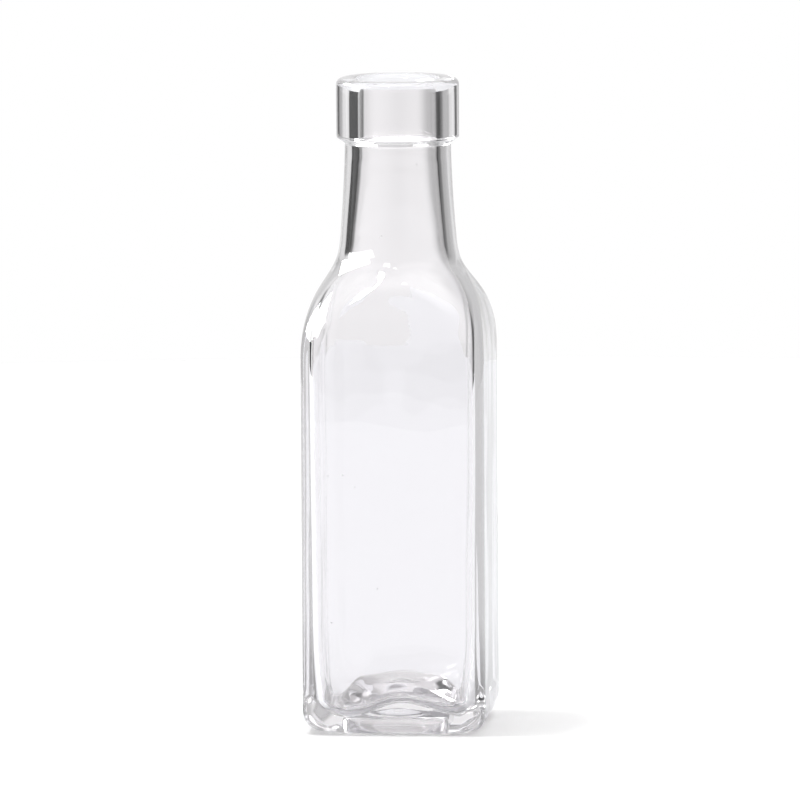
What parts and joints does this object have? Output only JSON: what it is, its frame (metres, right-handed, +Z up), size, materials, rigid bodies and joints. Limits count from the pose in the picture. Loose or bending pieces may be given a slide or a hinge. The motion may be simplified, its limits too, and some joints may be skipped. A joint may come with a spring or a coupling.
{
  "type": "square glass bottle",
  "caption": "Small empty square bottle of clear glass with sloping rounded shoulders, a round neck, a plain band lip for a stopper and a recessed base.",
  "frame": {"origin": "on the bottle's axis, in the plane of the bearing ring that it stands on", "axes": "+Z up through the mouth; -Y is the front face, and the four sides are alike"},
  "size_m": [0.044, 0.044, 0.156],
  "materials": {
    "glass": "smooth clear flint glass"
  },
  "bodies": {
    "root": {"bottle": "glass"}
  },
  "joints": []
}
